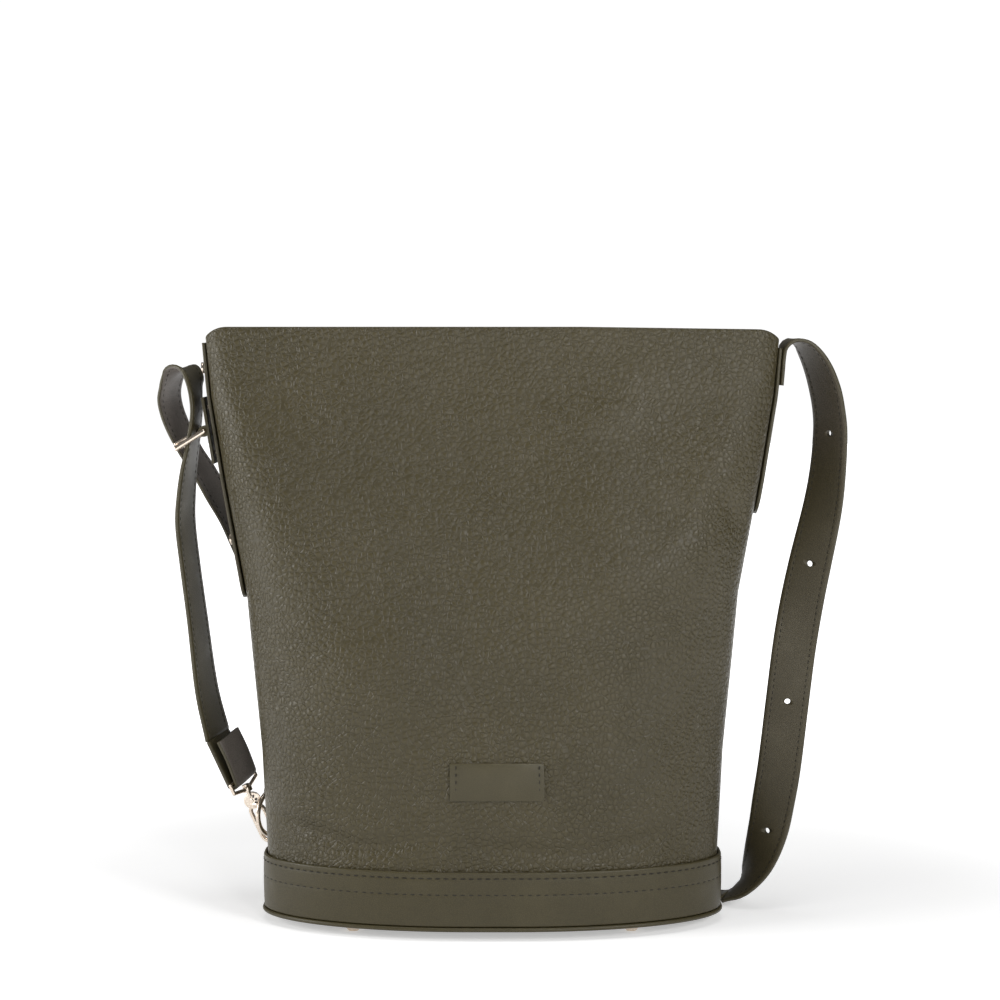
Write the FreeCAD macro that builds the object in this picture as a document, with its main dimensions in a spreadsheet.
"""Bucket bag with one long buckled strap and a snap hook, as a parametric FreeCAD document.

Millimetres.  +Z is up, +X to the wearer's right of the front face, and the front faces -Y.
The bag stands on four feet at Z = 0.
"""
import FreeCAD
import Part
import Sketcher
import math
import os

Vector = FreeCAD.Vector
Rotation = FreeCAD.Rotation
Placement = FreeCAD.Placement

PARTS_FOLDER = "parts"
X_AXIS = Vector(1, 0, 0)
Y_AXIS = Vector(0, 1, 0)
Z_AXIS = Vector(0, 0, 1)

# ---------------------------------------------------------------------------
# Driving sizes: alias, value and what it is
# ---------------------------------------------------------------------------

SIZES = [
    # where the bag stands
    ("stand_x", -4.3, "bag centre line from the origin, along X"),
    ("stand_y", -16.1, "bag centre line from the origin, along Y"),
    ("lean", -1.5, "sideways shift of the body above the band"),
    # leather, lining and the clearances between layers
    ("layer_gap", 0.3, "clearance between layers that touch when sewn"),
    ("body_leather", 1.6, "pebbled leather of the body"),
    ("band_leather", 2.0, "smooth leather of the base band and base panel"),
    ("lining_wall", 0.8, "fabric lining"),
    ("facing_wall", 1.4, "turned-in leather at the rim"),
    ("facing_height", 25.0, "height of the turned-in leather"),
    ("seam_slit", 0.3, "gap between the two halves at each side seam"),
    # base
    ("foot_height", 5.0, "base panel above the ground"),
    ("board_wall", 2.5, "stiffener board"),
    ("band_height", 30.5, "sewn band above the welt"),
    ("welt_wall", 1.9, "welt measured across"),
    ("welt_height", 2.5, "welt measured up"),
    ("welt_set_in", 1.0, "base panel edge outside the body outline"),
    ("foot_radius", 4.8, "dome of a foot"),
    ("foot_flat", 3.0, "flat end of a foot"),
    ("stem_radius", 1.2, "stem of a foot"),
    ("washer_radius", 4.0, "washer over the board"),
    ("washer_wall", 0.5, "washer thickness"),
    ("foot_out_x", 78.0, "feet from the centre line, along X"),
    ("foot_out_y", 36.0, "feet from the centre line, along Y"),
    # name patch
    ("patch_width", 52.0, "blank patch, across"),
    ("patch_height", 21.0, "blank patch, up"),
    ("patch_wall", 1.2, "blank patch, thick"),
    ("patch_corner", 1.3, "blank patch, corner radius"),
    ("patch_x", 3.0, "blank patch centre from the centre line"),
    ("patch_z", 88.0, "blank patch centre above the ground"),
    # magnetic snap
    ("snap_radius", 9.0, "snap plate"),
    ("snap_wall", 1.8, "snap plate thickness"),
    ("snap_boss", 4.5, "stud radius"),
    ("snap_boss_height", 1.6, "stud height"),
    ("snap_z", 323.0, "snap centre above the ground"),
    # strap and tabs
    ("strap_width", 25.0, "strap across"),
    ("strap_wall", 2.4, "strap thickness"),
    ("tab_wall", 2.5, "side tab thickness"),
    ("tab_gap", 0.7, "tab off the curved side of the body"),
    ("tab_top", 329.0, "side tabs, upper end"),
    ("right_tab_low", 232.0, "right tab, lower end"),
    ("left_tab_low", 184.0, "left tab, lower end"),
    ("rivet_radius", 3.2, "rivet head"),
    ("rivet_head", 1.1, "rivet head thickness"),
    ("rivet_stem", 1.2, "rivet stem radius"),
    ("hole_radius", 1.7, "punched strap hole"),
    # buckle
    ("chape_wall", 1.5, "leather folded round the buckle bar"),
    ("chape_reach", 19.0, "chape tail, up and down from the bar"),
    ("buckle_z", 280.2, "hinge bar above the ground"),
    ("buckle_wire", 1.5, "buckle bar radius"),
    ("buckle_inside", 27.0, "buckle opening along the bar"),
    ("buckle_reach", 18.0, "hinge bar to outer bar, centre to centre"),
    ("buckle_tilt", 32.0, "fall of the frame from the hinge bar, degrees"),
    ("prong_radius", 1.0, "prong radius"),
    ("prong_eye", 2.9, "prong eye, outer radius"),
    ("prong_width", 3.6, "prong eye, along the bar"),
    ("prong_play", 1.9, "room round the prong in its strap hole"),
    ("pivot_clearance", 0.1, "running clearance of pivots"),
    # ring and hook
    ("ring_wire", 1.4, "ring wire radius"),
    ("ring_radius", 13.0, "ring centre line radius"),
    ("ring_z", 55.0, "ring centre above the ground"),
    ("ring_stand", 5.8, "ring centre off the leather"),
    ("ring_place", 18.0, "ring round the back corner from the side, degrees"),
    ("ring_chape_width", 7.0, "leather round the ring, across"),
    ("ring_chape_bore", 2.0, "bore of that leather"),
    ("ring_chape_wall", 1.2, "wall of that leather"),
    ("ring_chape_stand", 2.4, "that leather off the body at the ring's height"),
    ("ring_chape_reach", 20.0, "tail of that leather above the ring wire"),
    ("hook_wire", 1.3, "hook wire radius"),
    ("hook_half", 4.6, "hook loop, half width between wire centres"),
    ("hook_length", 26.3, "medallion centre to hook tip, along the wire centres"),
    ("hook_shoulder", 7.5, "medallion centre to the hook shoulders"),
    ("hook_nose", 2.8, "nose of the hook beyond the curve"),
    ("link_gap", 0.6, "play of the ring in the hook tip"),
    ("link_angle", 76.0, "place on the ring where the hook hangs, degrees below level"),
    ("eye_wire", 1.1, "eye wire radius"),
    ("eye_half", 14.2, "eye half width between wire centres"),
    ("eye_drop", 15.4, "eye pin to medallion centre"),
    ("eye_leg", 5.2, "straight legs of the eye"),
    ("collar_radius", 3.0, "collar of the eye"),
    ("collar_height", 2.4, "collar height"),
    ("collar_place", 7.2, "collar centre to medallion centre"),
    ("swivel_radius", 1.3, "swivel stem radius"),
    ("swivel_head", 2.2, "head of the swivel stem"),
    ("swivel_head_wall", 1.2, "head thickness"),
    ("swivel_gap", 0.7, "head off the collar"),
    ("medallion_radius", 5.0, "medallion radius"),
    ("medallion_wall", 1.6, "medallion thickness"),
    ("gate_radius", 1.1, "gate radius"),
    ("gate_gap", 0.3, "gate ends from the shoulder and the nose"),
    ("fold_reach", 26.0, "strap end folded back from the eye pin"),
    ("fold_start", 28.0, "start of the fold from the eye pin"),
]

# The body is a tube through these levels: name, height, half width, half depth,
# half of the straight front, half of the straight side.
LEVELS = [
    ("hem", 5.0, 128.4, 60.0, 12.0, 4.0),
    ("low", 40.0, 128.6, 60.0, 14.0, 4.0),
    ("hip", 98.0, 131.3, 58.0, 30.0, 6.0),
    ("waist", 154.0, 136.3, 52.0, 60.0, 8.0),
    ("chest", 188.0, 139.2, 47.0, 80.0, 9.0),
    ("shoulder", 223.0, 145.4, 41.0, 100.0, 10.0),
    ("yoke", 252.0, 150.5, 35.0, 115.0, 11.0),
    ("mouth", 300.0, 158.0, 25.0, 138.0, 12.0),
    ("rim", 338.0, 161.1, 21.0, 148.0, 12.0),
]
LEVEL_FIELDS = ("height", "width", "depth", "front", "side")

# Strap routes: centre points from the bag centre line (X, Y, Z) and the turn of the strap's
# width, 0 degrees where its edge faces the front and 90 where its face does.
RIGHT_ROUTE = [
    (165.2, 0.0, 326.8, 3.0), (169.3, 0.0, 330.2, 8.0), (175.3, 0.2, 328.4, 18.0),
    (180.8, 0.5, 322.0, 27.0), (185.4, 1.0, 313.2, 33.0), (189.1, 1.5, 302.0, 37.0),
    (191.3, 2.0, 290.7, 38.0), (192.3, 2.5, 277.6, 41.0), (191.2, 3.0, 256.0, 46.0),
    (188.3, 4.0, 233.9, 55.0), (181.8, 5.5, 202.7, 68.0), (177.4, 6.5, 180.0, 75.0),
    (173.5, 8.0, 154.4, 86.0), (170.0, 10.0, 122.6, 86.0), (166.1, 12.0, 86.2, 80.0),
    (163.0, 14.0, 64.5, 70.0), (159.9, 16.0, 46.0, 58.0), (154.6, 19.0, 28.0, 38.0),
    (147.0, 24.0, 13.5, 12.0), (139.5, 30.0, 6.0, -12.0),
]
REAR_ROUTE = [
    (139.5, 30.0, 6.0, -12.0), (131.0, 38.0, 2.6, -28.0), (113.0, 56.0, 1.6, -36.0),
    (92.0, 67.0, 1.6, -26.0), (65.0, 76.0, 1.6, -16.0), (35.0, 81.0, 1.6, -7.0),
    (0.0, 83.0, 1.6, 0.0), (-28.0, 81.0, 5.5, -2.0), (-56.0, 78.0, 25.0, -4.0),
    (-82.0, 71.0, 58.0, -7.0), (-103.0, 63.0, 98.0, -11.0), (-120.0, 54.0, 140.0, -15.0),
    (-134.0, 45.0, 178.0, -19.0), (-144.0, 37.0, 206.0, -22.0),
]
LEFT_ROUTE = [
    (-144.0, 37.0, 206.0, -22.0), (-151.4, 32.0, 225.0, -25.0), (-160.1, 30.0, 240.6, -26.0),
    (-168.2, 30.0, 255.1, -26.0), (-175.7, 30.0, 266.7, -26.0), (-181.8, 30.0, 278.3, -25.0),
    (-185.9, 28.0, 289.8, -23.0), (-186.8, 26.7, 294.8, -21.7), (-186.7, 25.0, 299.5, -20.0),
    (-185.5, 22.5, 304.6, -17.5), (-183.5, 19.5, 309.0, -15.0), (-181.0, 16.3, 311.9, -13.3),
    (-178.2, 13.0, 313.4, -12.0), (-175.4, 9.6, 313.1, -10.9), (-172.8, 6.5, 311.2, -10.0),
    (-170.9, 4.0, 307.8, -9.0), (-169.6, 2.0, 303.5, -8.0), (-168.7, 0.8, 298.6, -6.9),
    (-168.2, 0.2, 293.5, -6.0), (-168.6, 0.0, 284.0, -6.0), (-171.2, 0.0, 267.0, -9.0),
    (-172.8, 0.5, 257.5, -12.0), (-174.4, 1.5, 244.0, -15.0), (-175.4, 3.5, 227.0, -17.0),
    (-173.6, 7.0, 204.0, -17.0), (-169.9, 11.0, 170.0, -18.0), (-165.6, 15.5, 129.5, -22.0),
]
HOLE_STATIONS = (7, 10, 13, 16)

# The hook hangs along this direction, and the strap's width is turned this far at its end.
HOOK_FALL = (0.41, 0.06, -0.91)
FOLD_TURN = -26.0


def make_sheet(document):
    """Put every driving size in a spreadsheet, one named cell each."""
    sheet = document.addObject("Spreadsheet::Sheet", "Sizes")
    rows = [(alias, value) for alias, value, _note in SIZES]
    for level in LEVELS:
        for field, value in zip(LEVEL_FIELDS, level[1:]):
            rows.append((level[0] + "_" + field, value))
    for row, (alias, value) in enumerate(rows, start=1):
        sheet.set("A%d" % row, alias)
        sheet.set("B%d" % row, str(value))
        sheet.setAlias("B%d" % row, alias)
    document.recompute()
    return sheet


DOC = FreeCAD.newDocument("BucketBag")
SHEET = make_sheet(DOC)
CELL_COUNT = len(SIZES) + len(LEVELS) * len(LEVEL_FIELDS)
PIECES = []


def size(alias):
    """The value of one named cell, in millimetres or degrees."""
    return float(SHEET.get(alias))


def bind(thing, **expressions):
    """Tie properties to cells; a double underscore in a name stands for a dot."""
    for name, text in expressions.items():
        words = text.split(" ")
        known = [SHEET.getAlias("B%d" % row) for row in range(1, CELL_COUNT + 1)]
        tied = " ".join("Sizes." + word if word in known else word for word in words)
        thing.setExpression(name.replace("__", "."), tied)
    return thing


def keep(thing, label, move=None):
    """Name a finished piece and give it its place in the standing bag."""
    thing.Label = label
    place = move if move is not None else Placement()
    shift = Placement(Vector(size("stand_x"), size("stand_y"), 0), Rotation())
    thing.Placement = shift.multiply(place)
    PIECES.append(thing)
    return thing


# ---------------------------------------------------------------------------
# Outline of the body at any height
# ---------------------------------------------------------------------------


def body_at(height):
    """Half width, half depth, straight front and straight side of the body at a height."""
    levels = [[size(level[0] + "_" + field) for field in LEVEL_FIELDS] for level in LEVELS]
    for low, high in zip(levels, levels[1:]):
        if height <= high[0] or high is levels[-1]:
            part = (height - low[0]) / (high[0] - low[0])
            return [a + (b - a) * part for a, b in zip(low[1:], high[1:])]
    return levels[-1][1:]


def lean_at(height):
    """Sideways shift of the body, growing from the hem to the rim."""
    rise = (height - size("hem_height")) / (size("rim_height") - size("hem_height"))
    return size("lean") * max(0.0, min(1.0, rise))


def side_at(height, side):
    """X of the outer face of the body at its side seam; side is +1 or -1."""
    return lean_at(height) + side * body_at(height)[0]


def outline(height, inset):
    """Closed wire of four quarter ellipses joined by four straight stretches."""
    half_x, half_y, flat_x, flat_y = body_at(height)
    round_x = half_x - inset - flat_x
    round_y = half_y - inset - flat_y
    centre_x = lean_at(height)
    corners = [(1, 1), (-1, 1), (-1, -1), (1, -1)]
    arcs = []
    for number, (sign_x, sign_y) in enumerate(corners):
        middle = Vector(centre_x + sign_x * flat_x, sign_y * flat_y, height)
        curve = Part.Ellipse(middle, round_x, round_y)
        arcs.append(Part.Edge(curve, number * math.pi / 2, (number + 1) * math.pi / 2))
    edges = []
    for arc, following in zip(arcs, arcs[1:] + arcs[:1]):
        edges.append(arc)
        edges.append(Part.makeLine(arc.lastVertex().Point, following.firstVertex().Point))
    return Part.Wire(edges)


def outline_object(name, height, inset):
    """An outline as an object of the document, for lofts and extrusions."""
    thing = DOC.addObject("Part::Feature", name)
    thing.Shape = outline(height, inset)
    return thing


def body_loft(name, low, high, inset):
    """Solid between two heights, following the levels of the body."""
    heights = [size(level[0] + "_height") for level in LEVELS]
    inner = [height for height in heights if low + 1 < height < high - 1]
    loft = DOC.addObject("Part::Loft", name)
    loft.Sections = [
        outline_object("%sSection%d" % (name, number), height, inset)
        for number, height in enumerate([low] + inner + [high])
    ]
    loft.Solid = True
    loft.Ruled = True
    return loft


def cut(name, base, tool):
    """Boolean difference of two objects."""
    thing = DOC.addObject("Part::Cut", name)
    thing.Base = base
    thing.Tool = tool
    return thing


def common(name, base, tool):
    """Boolean intersection of two objects."""
    thing = DOC.addObject("Part::Common", name)
    thing.Base = base
    thing.Tool = tool
    return thing


def fuse(name, shapes):
    """One solid from pieces that are made together."""
    thing = DOC.addObject("Part::MultiFuse", name)
    thing.Shapes = shapes
    return thing


def group(name, shapes):
    """Several separate solids kept as one node."""
    thing = DOC.addObject("Part::Compound", name)
    thing.Links = shapes
    return thing


def body_shell(name, low, high, inset, wall):
    """Open tube between two heights with a wall measured inwards."""
    spill = 0.5
    outer = body_loft(name + "Outer", low, high, inset)
    inner = body_loft(name + "Inner", low - spill, high + spill, inset + wall)
    return cut(name + "Tube", outer, inner)


def half_of(name, thing, side):
    """The front (side -1) or back (side +1) half of a tube, cut at the side seams."""
    box = DOC.addObject("Part::Box", name + "Side")
    bind(box, Length="rim_width * 3", Width="rim_width * 3", Height="rim_height * 2")
    slit = size("seam_slit") / 2
    start_y = slit if side > 0 else -slit - size("rim_width") * 3
    box.Placement = Placement(Vector(-size("rim_width") * 1.5, start_y, -1), Rotation())
    return common(name + "Common", thing, box)


def slab(name, height, wall_cell, inset):
    """Flat board with the body's outline at a height."""
    thing = DOC.addObject("Part::Extrusion", name)
    thing.Base = outline_object(name + "Outline", height, inset)
    thing.DirMode = "Custom"
    thing.Dir = Z_AXIS
    thing.Solid = True
    bind(thing, LengthFwd=wall_cell)
    return thing


# ---------------------------------------------------------------------------
# Sketched pieces
# ---------------------------------------------------------------------------


def origin_plane(body, role):
    """One of a body's own three planes, found by its role."""
    for feature in body.Origin.OriginFeatures:
        if feature.Role == role:
            return feature
    raise ValueError(role)


def new_sketch(body, name, role):
    """A sketch on one of the body's origin planes."""
    sketch = body.newObject("Sketcher::SketchObject", name)
    sketch.AttachmentSupport = [(origin_plane(body, role), "")]
    sketch.MapMode = "FlatFace"
    return sketch


def closed_outline(sketch, points):
    """Straight sides through the points, joined end to end."""
    count = len(points)
    for number in range(count):
        start = Vector(points[number][0], points[number][1], 0)
        end = Vector(points[(number + 1) % count][0], points[(number + 1) % count][1], 0)
        sketch.addGeometry(Part.LineSegment(start, end), False)


def primitive(kind, name, at=Vector(), turn=None, **expressions):
    """A Part primitive whose sizes are tied to cells."""
    thing = DOC.addObject("Part::" + kind, name)
    thing.Placement = Placement(at, turn if turn is not None else Rotation())
    return bind(thing, **expressions)


def along(direction):
    """Turn that takes +Z to a direction."""
    return Rotation(Z_AXIS, direction)


# ---------------------------------------------------------------------------
# Straps: flat leather along a route
# ---------------------------------------------------------------------------


def station_frame(route, number):
    """Centre, width direction and thickness direction at one point of a strap."""
    here = Vector(*route[number][:3])
    before = Vector(*route[max(number - 1, 0)][:3])
    after = Vector(*route[min(number + 1, len(route) - 1)][:3])
    forward = (after - before).normalize()
    turn = math.radians(route[number][3])
    across = Vector(math.sin(turn), -math.cos(turn), 0)
    across = (across - forward * across.dot(forward)).normalize()
    return here, across, forward.cross(across).normalize()


def strap(name, route, width, wall, ends=(None, None), level=None):
    """Solid strap through a route.

    ends fix the frames where two straps meet, and level is one width direction for all.
    """
    sections = []
    for number in range(len(route)):
        here, across, out = station_frame(route, number)
        if level is not None:
            out = (out - level * out.dot(level)).normalize()
            across = level
        if number == 0 and ends[0] is not None:
            across, out = ends[0]
        if number == len(route) - 1 and ends[1] is not None:
            across, out = ends[1]
        section = DOC.addObject("Part::Polygon", "%sStation%d" % (name, number))
        corners = [(-1, -1), (1, -1), (1, 1), (-1, 1)]
        section.Nodes = [
            here + across * (a * width / 2) + out * (b * wall / 2) for a, b in corners
        ]
        section.Close = True
        sections.append(section)
    links = []
    for number, pair in enumerate(zip(sections, sections[1:])):
        link = DOC.addObject("Part::Loft", "%sLink%d" % (name, number))
        link.Sections = list(pair)
        link.Solid = True
        link.Ruled = True
        links.append(link)
    return fuse(name, links)


def meeting(route_before, route_after):
    """The frame shared by the end of one strap and the start of the next."""
    joined = [route_before[-2], route_before[-1], route_after[1]]
    _here, across, out = station_frame(joined, 1)
    return across, out


def shorten(route, start_gap, end_gap):
    """The route with its ends pulled back by small clearances."""
    points = [list(point) for point in route]
    for end, nearest, gap in ((0, 1, start_gap), (-1, -2, end_gap)):
        here, beside = Vector(*points[end][:3]), Vector(*points[nearest][:3])
        moved = here + (beside - here).normalize() * gap
        points[end][:3] = [moved.x, moved.y, moved.z]
    return [tuple(point) for point in points]


def side_route(side, low, high, standoff):
    """Route of a tab up one side of the body, at a distance from the leather."""
    steps = 8
    heights = [low + (high - low) * step / steps for step in range(steps + 1)]
    return [(side_at(height, side) + side * standoff, 0.0, height, 0.0) for height in heights]


# ---------------------------------------------------------------------------
# The bag
# ---------------------------------------------------------------------------


def make_base():
    """Base panel, welt, board, band, feet and their washers."""
    bottom = size("foot_height")
    leather = size("band_leather")
    gap = size("layer_gap")
    stems = []
    feet = [(sx, sy) for sx in (-1, 1) for sy in (-1, 1)]
    for number, (sign_x, sign_y) in enumerate(feet):
        at = Vector(sign_x * size("foot_out_x"), sign_y * size("foot_out_y"), 0)
        hole = primitive("Cylinder", "StemHole%d" % number, at,
                         Radius="stem_radius + pivot_clearance", Height="foot_height * 4")
        stems.append(hole)
    holes = group("StemHoles", stems)
    panel = slab("BasePanelSlab", bottom, "band_leather", -size("welt_set_in"))
    keep(cut("BasePanel", panel, holes), "base_panel")
    board_z = bottom + leather + gap
    board = slab("BoardSlab", board_z, "board_wall", size("body_leather") + gap)
    keep(cut("BaseBoard", board, holes), "base_board")

    band_inset = -(gap + leather)
    welt_inset = -(size("welt_set_in") + gap + size("welt_wall"))
    welt = body_shell("Welt", bottom, bottom + size("welt_height"), welt_inset, size("welt_wall"))
    keep(welt, "base_welt")
    band_low = bottom + size("welt_height") + gap
    band = body_shell("Band", band_low, band_low + size("band_height"), band_inset, leather)
    keep(band, "base_band")

    washers = []
    washer_z = board_z + size("board_wall")
    names = {(-1, -1): "foot_front_left", (1, -1): "foot_front_right",
             (-1, 1): "foot_back_left", (1, 1): "foot_back_right"}
    for (sign_x, sign_y), label in names.items():
        at = Vector(sign_x * size("foot_out_x"), sign_y * size("foot_out_y"), 0)
        dome = primitive("Cone", label + "Dome", Radius1="foot_flat", Radius2="foot_radius",
                         Height="foot_height * 0.5")
        collar = primitive("Cylinder", label + "Collar", Vector(0, 0, bottom / 2),
                           Radius="foot_radius", Height="foot_height * 0.5")
        stem = primitive("Cylinder", label + "Stem", Radius="stem_radius",
                         Height="foot_height + band_leather + layer_gap + board_wall + washer_wall")
        keep(fuse(label + "Foot", [dome, collar, stem]), label, Placement(at, Rotation()))
        disc = primitive("Cylinder", label + "Disc", at + Vector(0, 0, washer_z),
                         Radius="washer_radius", Height="washer_wall")
        washers.append(cut(label + "Washer", disc, stems[feet.index((sign_x, sign_y))]))
    keep(group("FootWashers", washers), "foot_washers")


def make_body():
    """Leather halves, lining and the turned-in facings."""
    low = size("foot_height") + size("band_leather") + size("layer_gap")
    high = size("rim_height")
    gap = size("layer_gap")
    leather = size("body_leather")
    for name, side, label in (("Front", -1, "front_panel"), ("Back", 1, "back_panel")):
        tube = body_shell(name + "Panel", low, high, 0.0, leather)
        keep(half_of(name + "Panel", tube, side), label)

    lining_inset = leather + gap
    facing_low = high - size("facing_height")
    floor_z = low + size("board_wall") + size("washer_wall") + gap
    outer = body_loft("LiningOuter", floor_z, facing_low - gap, lining_inset)
    inner = body_loft("LiningInner", floor_z + size("lining_wall"), facing_low + gap,
                      lining_inset + size("lining_wall"))
    keep(cut("Lining", outer, inner), "lining")

    for name, side, label in (("FrontFacing", -1, "rim_facing_front"),
                              ("BackFacing", 1, "rim_facing_back")):
        tube = body_shell(name, facing_low, high - 1, lining_inset, size("facing_wall"))
        keep(half_of(name, tube, side), label)


def face_place(height, standoff, across, side):
    """Place on the front (side -1) or back (side +1) face, +Z of the piece facing out."""
    reach = 5.0
    fall = body_at(height + reach)[1] - body_at(height - reach)[1]
    lean_back = math.degrees(math.atan2(-fall, 2 * reach))
    half_depth = body_at(height)[1]
    out = Vector(0, side * math.cos(math.radians(lean_back)), math.sin(math.radians(lean_back)))
    base = Vector(lean_at(height) + across, side * half_depth, height) + out * standoff
    up = Vector(0, -out.z * side, abs(out.y))
    right = up.cross(out)
    matrix = FreeCAD.Matrix(right.x, up.x, out.x, base.x, right.y, up.y, out.y, base.y,
                            right.z, up.z, out.z, base.z, 0, 0, 0, 1)
    return Placement(matrix)


def make_patch():
    """Blank name patch with rounded corners."""
    body = DOC.addObject("PartDesign::Body", "NamePatch")
    sketch = new_sketch(body, "NamePatchOutline", "XY_Plane")
    half_x, half_y = size("patch_width") / 2, size("patch_height") / 2
    corners = [(-half_x, -half_y), (half_x, -half_y), (half_x, half_y), (-half_x, half_y)]
    closed_outline(sketch, corners)
    tie_rectangle(sketch, "patch_width", "patch_height")
    pad = body.newObject("PartDesign::Pad", "NamePatchPad")
    pad.Profile = sketch
    bind(pad, Length="patch_wall")
    DOC.recompute()
    upright = [
        "Edge%d" % (number + 1) for number, edge in enumerate(pad.Shape.Edges)
        if abs(edge.tangentAt(edge.FirstParameter).z) > 0.9
    ]
    fillet = body.newObject("PartDesign::Fillet", "NamePatchCorners")
    fillet.Base = (pad, upright)
    bind(fillet, Radius="patch_corner")
    place = face_place(size("patch_z"), size("layer_gap"), size("patch_x"), -1)
    keep(body, "name_patch", place)


def tie_rectangle(sketch, width_cell, height_cell):
    """Close, square and centre a four-sided outline, then bind its two sides."""
    for number in range(4):
        following = (number + 1) % 4
        sketch.addConstraint(Sketcher.Constraint("Coincident", number, 2, following, 1))
        direction = "Horizontal" if number % 2 == 0 else "Vertical"
        sketch.addConstraint(Sketcher.Constraint(direction, number))
    sketch.addConstraint(Sketcher.Constraint("Symmetric", 0, 1, 2, 1, -1, 1))
    for line, cell in ((0, width_cell), (1, height_cell)):
        value = size(cell)
        number = sketch.addConstraint(Sketcher.Constraint("Distance", line, value))
        sketch.setExpression("Constraints[%d]" % number, "Sizes." + cell)


def make_snap():
    """Magnetic snap: a socket on the front facing and a stud on the back facing."""
    wall = size("body_leather") + size("facing_wall") + 3 * size("layer_gap")
    for name, label, side in (("SnapSocket", "snap_socket", -1), ("SnapStud", "snap_stud", 1)):
        plate = primitive("Cylinder", name + "Plate", Vector(0, 0, 0),
                          Radius="snap_radius", Height="snap_wall")
        boss_at = Vector(0, 0, -size("snap_boss_height"))
        if side < 0:
            well = primitive("Cylinder", name + "Well", Vector(0, 0, -1),
                             Radius="snap_boss + layer_gap", Height="snap_wall")
            piece = cut(name, plate, well)
        else:
            boss = primitive("Cylinder", name + "Boss", boss_at, Radius="snap_boss",
                             Height="snap_boss_height + snap_wall")
            piece = fuse(name, [plate, boss])
        place = face_place(size("snap_z"), -(wall + size("snap_wall")), 0.0, side)
        keep(piece, label, place)


def rivet(name, start, direction, reach):
    """Headed rivet: head at the start, stem running along the direction."""
    turn = along(direction)
    head = primitive("Cylinder", name + "Head", start, turn, Radius="rivet_radius",
                     Height="rivet_head")
    stem = primitive("Cylinder", name + "Stem", start, turn, Radius="rivet_stem")
    stem.Height = reach
    return fuse(name, [head, stem])


def frame_placement(origin, x_dir, y_dir, z_dir):
    """Placement from an origin and three unit directions."""
    matrix = FreeCAD.Matrix(x_dir.x, y_dir.x, z_dir.x, origin.x, x_dir.y, y_dir.y, z_dir.y,
                            origin.y, x_dir.z, y_dir.z, z_dir.z, origin.z, 0, 0, 0, 1)
    return Placement(matrix)


# ---------------------------------------------------------------------------
# Side tabs, buckle and strap
# ---------------------------------------------------------------------------


def side_frame(height, side, standoff):
    """Frame on a side seam: X out of the bag, Z up along the seam."""
    reach = 8.0
    slope = side_at(height + reach, side) - side_at(height - reach, side)
    up = Vector(slope, 0, 2 * reach).normalize()
    out = Vector(side * up.z, 0, -side * up.x)
    across = up.cross(out)
    base = Vector(side_at(height, side), 0, height) + out * standoff
    return frame_placement(base, out, across, up)


def make_right_side():
    """Right tab and the strap run that is sewn on it."""
    gap = size("layer_gap")
    tab = strap("RightTab", side_route(1, size("right_tab_low"), size("tab_top") - 3,
                                       size("tab_gap") + size("tab_wall") / 2),
                size("strap_width"), size("tab_wall"))
    keep(tab, "right_side_tab")
    sewn_at = size("tab_gap") + size("tab_wall") + gap + size("strap_wall") / 2
    sewn = side_route(1, size("tab_top") - 24, size("tab_top") - 7, sewn_at)[::2]
    route = sewn + shorten(RIGHT_ROUTE, 0, gap / 2)
    floor_frame = meeting(RIGHT_ROUTE, REAR_ROUTE)
    rise_frame = meeting(REAR_ROUTE, LEFT_ROUTE)
    run = strap("RightRun", route, size("strap_width"), size("strap_wall"),
                (None, floor_frame))
    holes = []
    for number in HOLE_STATIONS:
        here, _across, out = station_frame(RIGHT_ROUTE, number)
        reach = size("strap_wall") * 2
        holes.append(primitive("Cylinder", "StrapHole%d" % number, here - out * reach,
                               along(out), Radius="hole_radius", Height="strap_wall * 4"))
    keep(cut("RightRunPunched", run, group("StrapHoles", holes)), "strap_right_run")
    rear = shorten(REAR_ROUTE, gap / 2, gap / 2)
    keep(strap("RearRun", rear, size("strap_width"), size("strap_wall"),
               (floor_frame, rise_frame)), "strap_rear_run")


def bar_frame():
    """Frame of the buckle's hinge bar: X out of the bag, Y along the bar, Z up the seam."""
    standoff = (size("tab_gap") + size("tab_wall") + size("layer_gap") + size("chape_wall")
                + size("buckle_wire") + size("pivot_clearance"))
    return side_frame(size("buckle_z"), -1, standoff)


def buckle_frame_place():
    """Frame of the buckle: X from the hinge bar to the outer bar, Y along the bars."""
    base = bar_frame().Base
    tilt = math.radians(size("buckle_tilt"))
    reach = Vector(-math.cos(tilt), 0, -math.sin(tilt))
    return frame_placement(base, reach, -Y_AXIS, reach.cross(-Y_AXIS))


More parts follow.
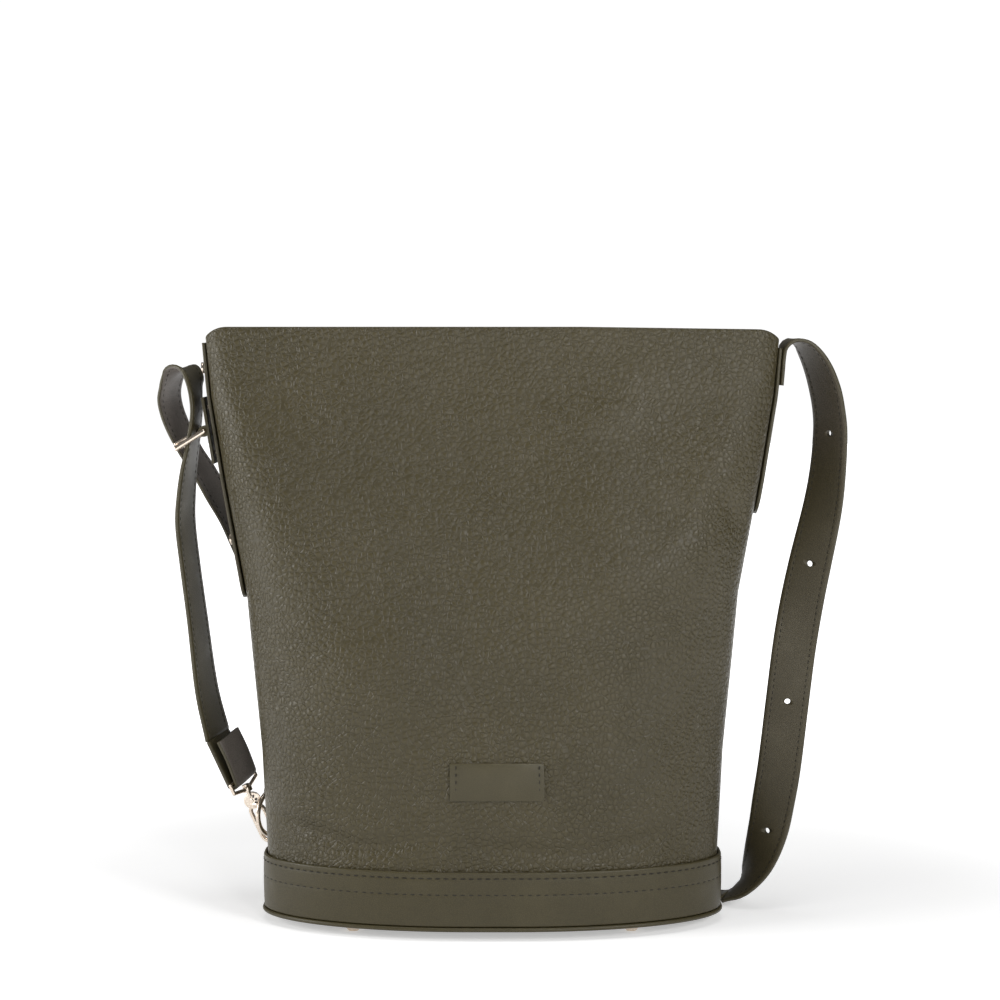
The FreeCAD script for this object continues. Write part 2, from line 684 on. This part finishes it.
def make_left_side():
    """Left tab, the chape round the buckle bar and their rivets."""
    gap = size("layer_gap")
    half = size("strap_width") / 2
    tab = strap("LeftTab", side_route(-1, size("left_tab_low"), size("tab_top"),
                                      size("tab_gap") + size("tab_wall") / 2),
                size("strap_width"), size("tab_wall"))
    stems = []
    plain_rivets = []
    for number, height in enumerate((size("tab_top") - 14, size("left_tab_low") + 34)):
        place = side_frame(height, -1, size("tab_gap") + size("tab_wall") + size("rivet_head"))
        inward = place.Rotation.multVec(-X_AXIS)
        reach = size("rivet_head") + size("tab_wall")
        plain_rivets.append(rivet("LeftTabRivet%d" % number, place.Base, inward, reach))
        stems.append(primitive("Cylinder", "LeftStemHole%d" % number, place.Base,
                               along(inward), Radius="rivet_stem + pivot_clearance", Height="tab_wall * 3"))

    bar = bar_frame()
    along_bar = Rotation(X_AXIS, -90)
    outer = size("buckle_wire") + size("pivot_clearance") + size("chape_wall")
    sleeve = primitive("Cylinder", "ChapeSleeve", Vector(0, -half, 0), along_bar,
                       Radius="buckle_wire + pivot_clearance + chape_wall",
                       Height="strap_width")
    tail = primitive("Box", "ChapeTail", Vector(-outer, -half, -size("chape_reach")),
                     Length="chape_wall", Width="strap_width", Height="chape_reach * 2")
    bore = primitive("Cylinder", "ChapeBore", Vector(0, -half - 1, 0), along_bar,
                     Radius="buckle_wire + pivot_clearance", Height="strap_width + 2")
    slot_half = size("prong_width") / 2 + gap
    slot_low = -size("prong_eye") - gap
    slot = primitive("Box", "ChapeSlot", Vector(-2 * outer, -slot_half, slot_low),
                     Width="prong_width + layer_gap * 2",
                     Height="prong_eye * 2 + layer_gap * 2")
    slot.Length = 4 * outer
    chape_stems = []
    chape_rivets = []
    for number, rise in enumerate((-0.68, 0.68)):
        start = Vector(-outer + size("chape_wall") + size("rivet_head"), 0,
                       rise * size("chape_reach"))
        head = bar.multVec(start)
        inward = bar.Rotation.multVec(-X_AXIS)
        reach = size("rivet_head") + size("chape_wall") + gap + size("tab_wall")
        chape_rivets.append(rivet("ChapeRivet%d" % number, head, inward, reach))
        chape_stems.append(primitive("Cylinder", "ChapeStemHole%d" % number, start,
                                     along(-X_AXIS), Radius="rivet_stem + pivot_clearance",
                                     Height="chape_wall * 4"))
        stems.append(primitive("Cylinder", "TabStemHole%d" % number, head, along(inward),
                               Radius="rivet_stem + pivot_clearance", Height="tab_wall * 4"))
    chape = fuse("Chape", [sleeve, tail])
    tools = group("ChapeTools", [bore, slot] + chape_stems)
    keep(cut("ChapeCut", chape, tools), "buckle_chape", bar)
    keep(cut("LeftTabCut", tab, group("LeftStemHoles", stems)), "left_side_tab")
    keep(group("LeftTabRivets", plain_rivets), "left_tab_rivets")
    keep(group("ChapeRivets", chape_rivets), "chape_rivets")


def rod(name, start, end, radius_cell, caps=True):
    """Round bar between two points, with ball ends for bends."""
    reach = end - start
    bar = primitive("Cylinder", name, start, along(reach), Radius=radius_cell)
    bar.Height = reach.Length
    if not caps:
        return [bar]
    balls = [
        primitive("Sphere", "%sEnd%d" % (name, number), point, None, Radius=radius_cell)
        for number, point in enumerate((start, end))
    ]
    return [bar] + balls


def make_buckle():
    """Buckle frame with its hinge bar, and the prong that turns on the bar."""
    place = buckle_frame_place()
    half = size("buckle_inside") / 2 + size("buckle_wire")
    reach = size("buckle_reach")
    corners = [Vector(0, -half, 0), Vector(0, half, 0), Vector(reach, half, 0),
               Vector(reach, -half, 0)]
    bars = []
    for number, (start, end) in enumerate(zip(corners, corners[1:] + corners[:1])):
        bars += rod("BuckleBar%d" % number, start, end, "buckle_wire")[:2]
    keep(fuse("Buckle", bars), "buckle_frame", place)

    low = Vector(0, -size("prong_width") / 2, 0)
    eye = primitive("Cylinder", "ProngEye", low, Rotation(X_AXIS, -90), Radius="prong_eye",
                    Height="prong_width")
    rest = size("buckle_wire") + size("prong_radius") + size("layer_gap")
    root = Vector(0, 0, size("prong_eye") - size("prong_radius"))
    tip = Vector(reach + size("prong_radius"), 0, rest)
    arm = fuse("ProngSolid", [eye] + rod("ProngArm", root, tip, "prong_radius"))
    bore = primitive("Cylinder", "ProngBore", low - Y_AXIS, Rotation(X_AXIS, -90),
                     Radius="buckle_wire + pivot_clearance", Height="prong_width + 2")
    keep(cut("Prong", arm, bore), "buckle_prong", place)


# ---------------------------------------------------------------------------
# Ring, snap hook and the folded strap end
# ---------------------------------------------------------------------------


def ring_frame():
    """Frame of the ring: X level in its plane and inwards, Y out of the bag, Z up."""
    height = size("ring_z")
    half_x, half_y, flat_x, flat_y = body_at(height)
    round_x, round_y = half_x - flat_x, half_y - flat_y
    turn = math.radians(size("ring_place"))
    out_x, out_y = math.cos(turn) * round_x, math.sin(turn) * round_y
    point = Vector(lean_at(height) - flat_x - out_x, flat_y + out_y, height)
    out = Vector(-out_x / round_x ** 2, out_y / round_y ** 2, 0).normalize()
    level = out.cross(Z_AXIS)
    return frame_placement(point + out * size("ring_stand"), level, out, Z_AXIS)


def chain():
    """Points and directions of the hook: eye pin, medallion, fall, width and loop axis."""
    ring = ring_frame()
    angle = math.radians(size("link_angle"))
    level = ring.Rotation.multVec(-X_AXIS)
    link = ring.Base + (level * math.cos(angle) - Z_AXIS * math.sin(angle)) * size("ring_radius")
    wire = (level * math.sin(angle) + Z_AXIS * math.cos(angle)).normalize()
    fall = Vector(*HOOK_FALL).normalize()
    slant = (wire - fall * wire.dot(fall)).Length
    play = (size("hook_wire") + size("link_gap") + size("ring_wire")) / slant
    to_link = size("hook_length") - play
    middle = link - fall * to_link
    pin = middle - fall * size("eye_drop")
    axis = (wire - fall * wire.dot(fall)).normalize()
    turn = math.radians(FOLD_TURN)
    across = Vector(math.sin(turn), -math.cos(turn), 0)
    across = (across - fall * across.dot(fall)).normalize()
    return pin, middle, fall, across, axis


def make_ring():
    """Ring at the lower back corner and the leather loop that holds it."""
    place = ring_frame()
    ring = primitive("Torus", "Ring", Vector(), Rotation(X_AXIS, 90), Radius1="ring_radius",
                     Radius2="ring_wire")
    keep(group("BackRing", [ring]), "back_ring", place)
    half = size("ring_chape_width") / 2
    outer = size("ring_chape_bore") + size("ring_chape_wall")
    turn = Rotation(Y_AXIS, 90)
    sleeve = primitive("Cylinder", "RingSleeve", Vector(-half, 0, 0), turn,
                       Radius="ring_chape_bore + ring_chape_wall", Height="ring_chape_width")
    back = size("ring_stand") - size("ring_chape_stand")
    tail = primitive("Box", "RingTail", Vector(-half, -back, 0), Length="ring_chape_width",
                     Height="ring_chape_reach")
    tail.Width = 2 * size("ring_chape_wall")
    bore = primitive("Cylinder", "RingBore", Vector(-half - 1, 0, 0), turn,
                     Radius="ring_chape_bore", Height="ring_chape_width + 2")
    head = Vector(0, -back + 2 * size("ring_chape_wall") + size("rivet_head"),
                  0.66 * size("ring_chape_reach"))
    stem = primitive("Cylinder", "RingStemHole", head, along(-Y_AXIS),
                     Radius="rivet_stem + pivot_clearance")
    stem.Height = 3 * outer
    leather = cut("RingChape", fuse("RingChapeSolid", [sleeve, tail]),
                  group("RingChapeTools", [bore, stem]))
    top = place.multiply(Placement(Vector(0, 0, size("ring_radius")), Rotation()))
    keep(leather, "ring_chape", top)
    reach = size("rivet_head") + 2 * size("ring_chape_wall")
    keep(rivet("RingRivet", head, -Y_AXIS, reach), "ring_rivet", top)


def make_hook():
    """Snap hook: eye, swivel, medallion, hook and gate."""
    pin, middle, fall, across, axis = chain()
    eye_place = frame_placement(pin, across, fall, across.cross(fall))
    half = size("eye_half")
    leg = size("eye_leg")
    neck = size("eye_drop") - size("collar_place")
    corners = [Vector(-half, 0, 0), Vector(half, 0, 0), Vector(half, leg, 0),
               Vector(0, neck, 0), Vector(-half, leg, 0)]
    wires = []
    for number, (start, end) in enumerate(zip(corners, corners[1:] + corners[:1])):
        wires += rod("EyeWire%d" % number, start, end, "eye_wire")[:2]
    down = along(Y_AXIS)
    collar_low = Vector(0, neck - size("collar_height") / 2, 0)
    collar = primitive("Cylinder", "EyeCollar", collar_low, down, Radius="collar_radius",
                       Height="collar_height")
    bore = primitive("Cylinder", "EyeBore", collar_low - Y_AXIS * 2, down,
                     Radius="swivel_radius + pivot_clearance", Height="collar_height + 4")
    keep(cut("HookEye", fuse("HookEyeSolid", wires + [collar]), bore), "hook_eye", eye_place)

    side = axis.cross(fall) * -1
    hook_place = frame_placement(middle, side, fall, side.cross(fall))
    head_low = -(size("collar_place") + size("collar_height") / 2 + size("swivel_gap")
                 + size("swivel_head_wall"))
    head = primitive("Cylinder", "SwivelHead", Vector(0, head_low, 0), down,
                     Radius="swivel_head", Height="swivel_head_wall")
    stem = primitive("Cylinder", "SwivelStem", Vector(0, head_low, 0), down,
                     Radius="swivel_radius")
    stem.Height = -head_low - size("medallion_radius") * 0.5
    wide = size("hook_half")
    curve_at = size("hook_length") - wide
    shoulder_at = size("hook_shoulder")
    tip = primitive("Torus", "HookTip", Vector(0, curve_at, 0), None, Radius1="hook_half",
                    Radius2="hook_wire", Angle3="180")
    shoulder = primitive("Torus", "HookShoulder", Vector(0, shoulder_at, 0),
                         Rotation(Z_AXIS, 180), Radius1="hook_half", Radius2="hook_wire",
                         Angle3="180")
    spine = rod("HookSpine", Vector(wide, shoulder_at, 0), Vector(wide, curve_at, 0),
                "hook_wire", caps=False)
    nose = rod("HookNose", Vector(-wide, curve_at, 0),
               Vector(-wide, curve_at - size("hook_nose"), 0), "hook_wire", caps=False)
    facing = Vector(0, -1, 0)
    facing = (facing - fall * facing.dot(fall)).normalize()
    inverse = hook_place.Rotation.inverted()
    outward = inverse.multVec(facing)
    disc = primitive("Cylinder", "MedallionDisc", outward * (-size("medallion_wall") / 2),
                     along(outward), Radius="medallion_radius", Height="medallion_wall")
    body = fuse("HookSolid", [head, stem, tip, shoulder, disc] + spine + nose)
    keep(body, "hook_body", hook_place)
    gate_top = Vector(-wide, shoulder_at + size("gate_gap"), 0)
    gate_end = Vector(-wide, curve_at - size("hook_nose") - size("gate_gap"), 0)
    gate = rod("Gate", gate_top, gate_end, "gate_radius", caps=False)
    keep(group("GateHolder", gate), "hook_gate", hook_place)


def make_strap_end():
    """Left strap run, and its end folded round the eye pin."""
    pin, _middle, fall, across, _axis = chain()
    gap = size("layer_gap")
    inside = fall.cross(across).normalize()
    if inside.x < 0:
        inside = inside * -1
    centre = size("eye_wire") + gap + size("strap_wall") / 2
    start = pin - inside * centre - fall * size("fold_start")
    steps = [start, pin - inside * centre - fall * size("fold_start") / 2, pin - inside * centre]
    turns = 6
    for number in range(1, turns):
        angle = math.pi * number / turns
        steps.append(pin - inside * (centre * math.cos(angle)) + fall * (centre * math.sin(angle)))
    lift = size("strap_wall") * 0.5
    steps += [pin + inside * centre, pin + inside * (centre + lift) - fall * size("fold_reach") / 2,
              pin + inside * (centre + lift) - fall * size("fold_reach")]
    fold_route = [(point.x, point.y, point.z, FOLD_TURN) for point in steps]
    left = LEFT_ROUTE + [fold_route[0]]
    frame = meeting(left, fold_route)
    rise_frame = meeting(REAR_ROUTE, LEFT_ROUTE)
    run = strap("LeftRunWhole", shorten(left, gap / 2, gap / 2), size("strap_width"),
                size("strap_wall"), (rise_frame, frame))
    place = buckle_frame_place()
    rest = size("buckle_wire") + size("prong_radius")
    hole = primitive("Cylinder", "ProngHole", place.multVec(Vector(size("prong_eye"), 0, rest)),
                     along(place.Rotation.multVec(X_AXIS)),
                     Radius="prong_radius + prong_play", Height="buckle_reach * 0.75")
    keep(cut("LeftRunPunched", run, hole), "strap_left_run")
    keep(strap("EndFold", shorten(fold_route, gap / 2, 0), size("strap_width"),
               size("strap_wall"), (frame, None), across), "strap_end_fold")


def check_document():
    """Stop if any object failed, or a kept piece is empty or not valid."""
    DOC.recompute()
    failed = [
        thing.Name for thing in DOC.Objects
        if {"Invalid", "Error"} & set(thing.State)
    ]
    for piece in PIECES:
        if piece.Shape.isNull() or not piece.Shape.isValid() or not piece.Shape.Solids:
            failed.append(piece.Label)
    if failed:
        raise RuntimeError("failed: " + ", ".join(failed))


def write_parts():
    """Write each kept piece to its own file."""
    os.makedirs(PARTS_FOLDER, exist_ok=True)
    for piece in PIECES:
        piece.Shape.exportStep(os.path.join(PARTS_FOLDER, piece.Label + ".step"))


make_base()
make_body()
make_patch()
make_snap()
make_right_side()
make_left_side()
make_buckle()
make_ring()
make_hook()
make_strap_end()
check_document()
write_parts()
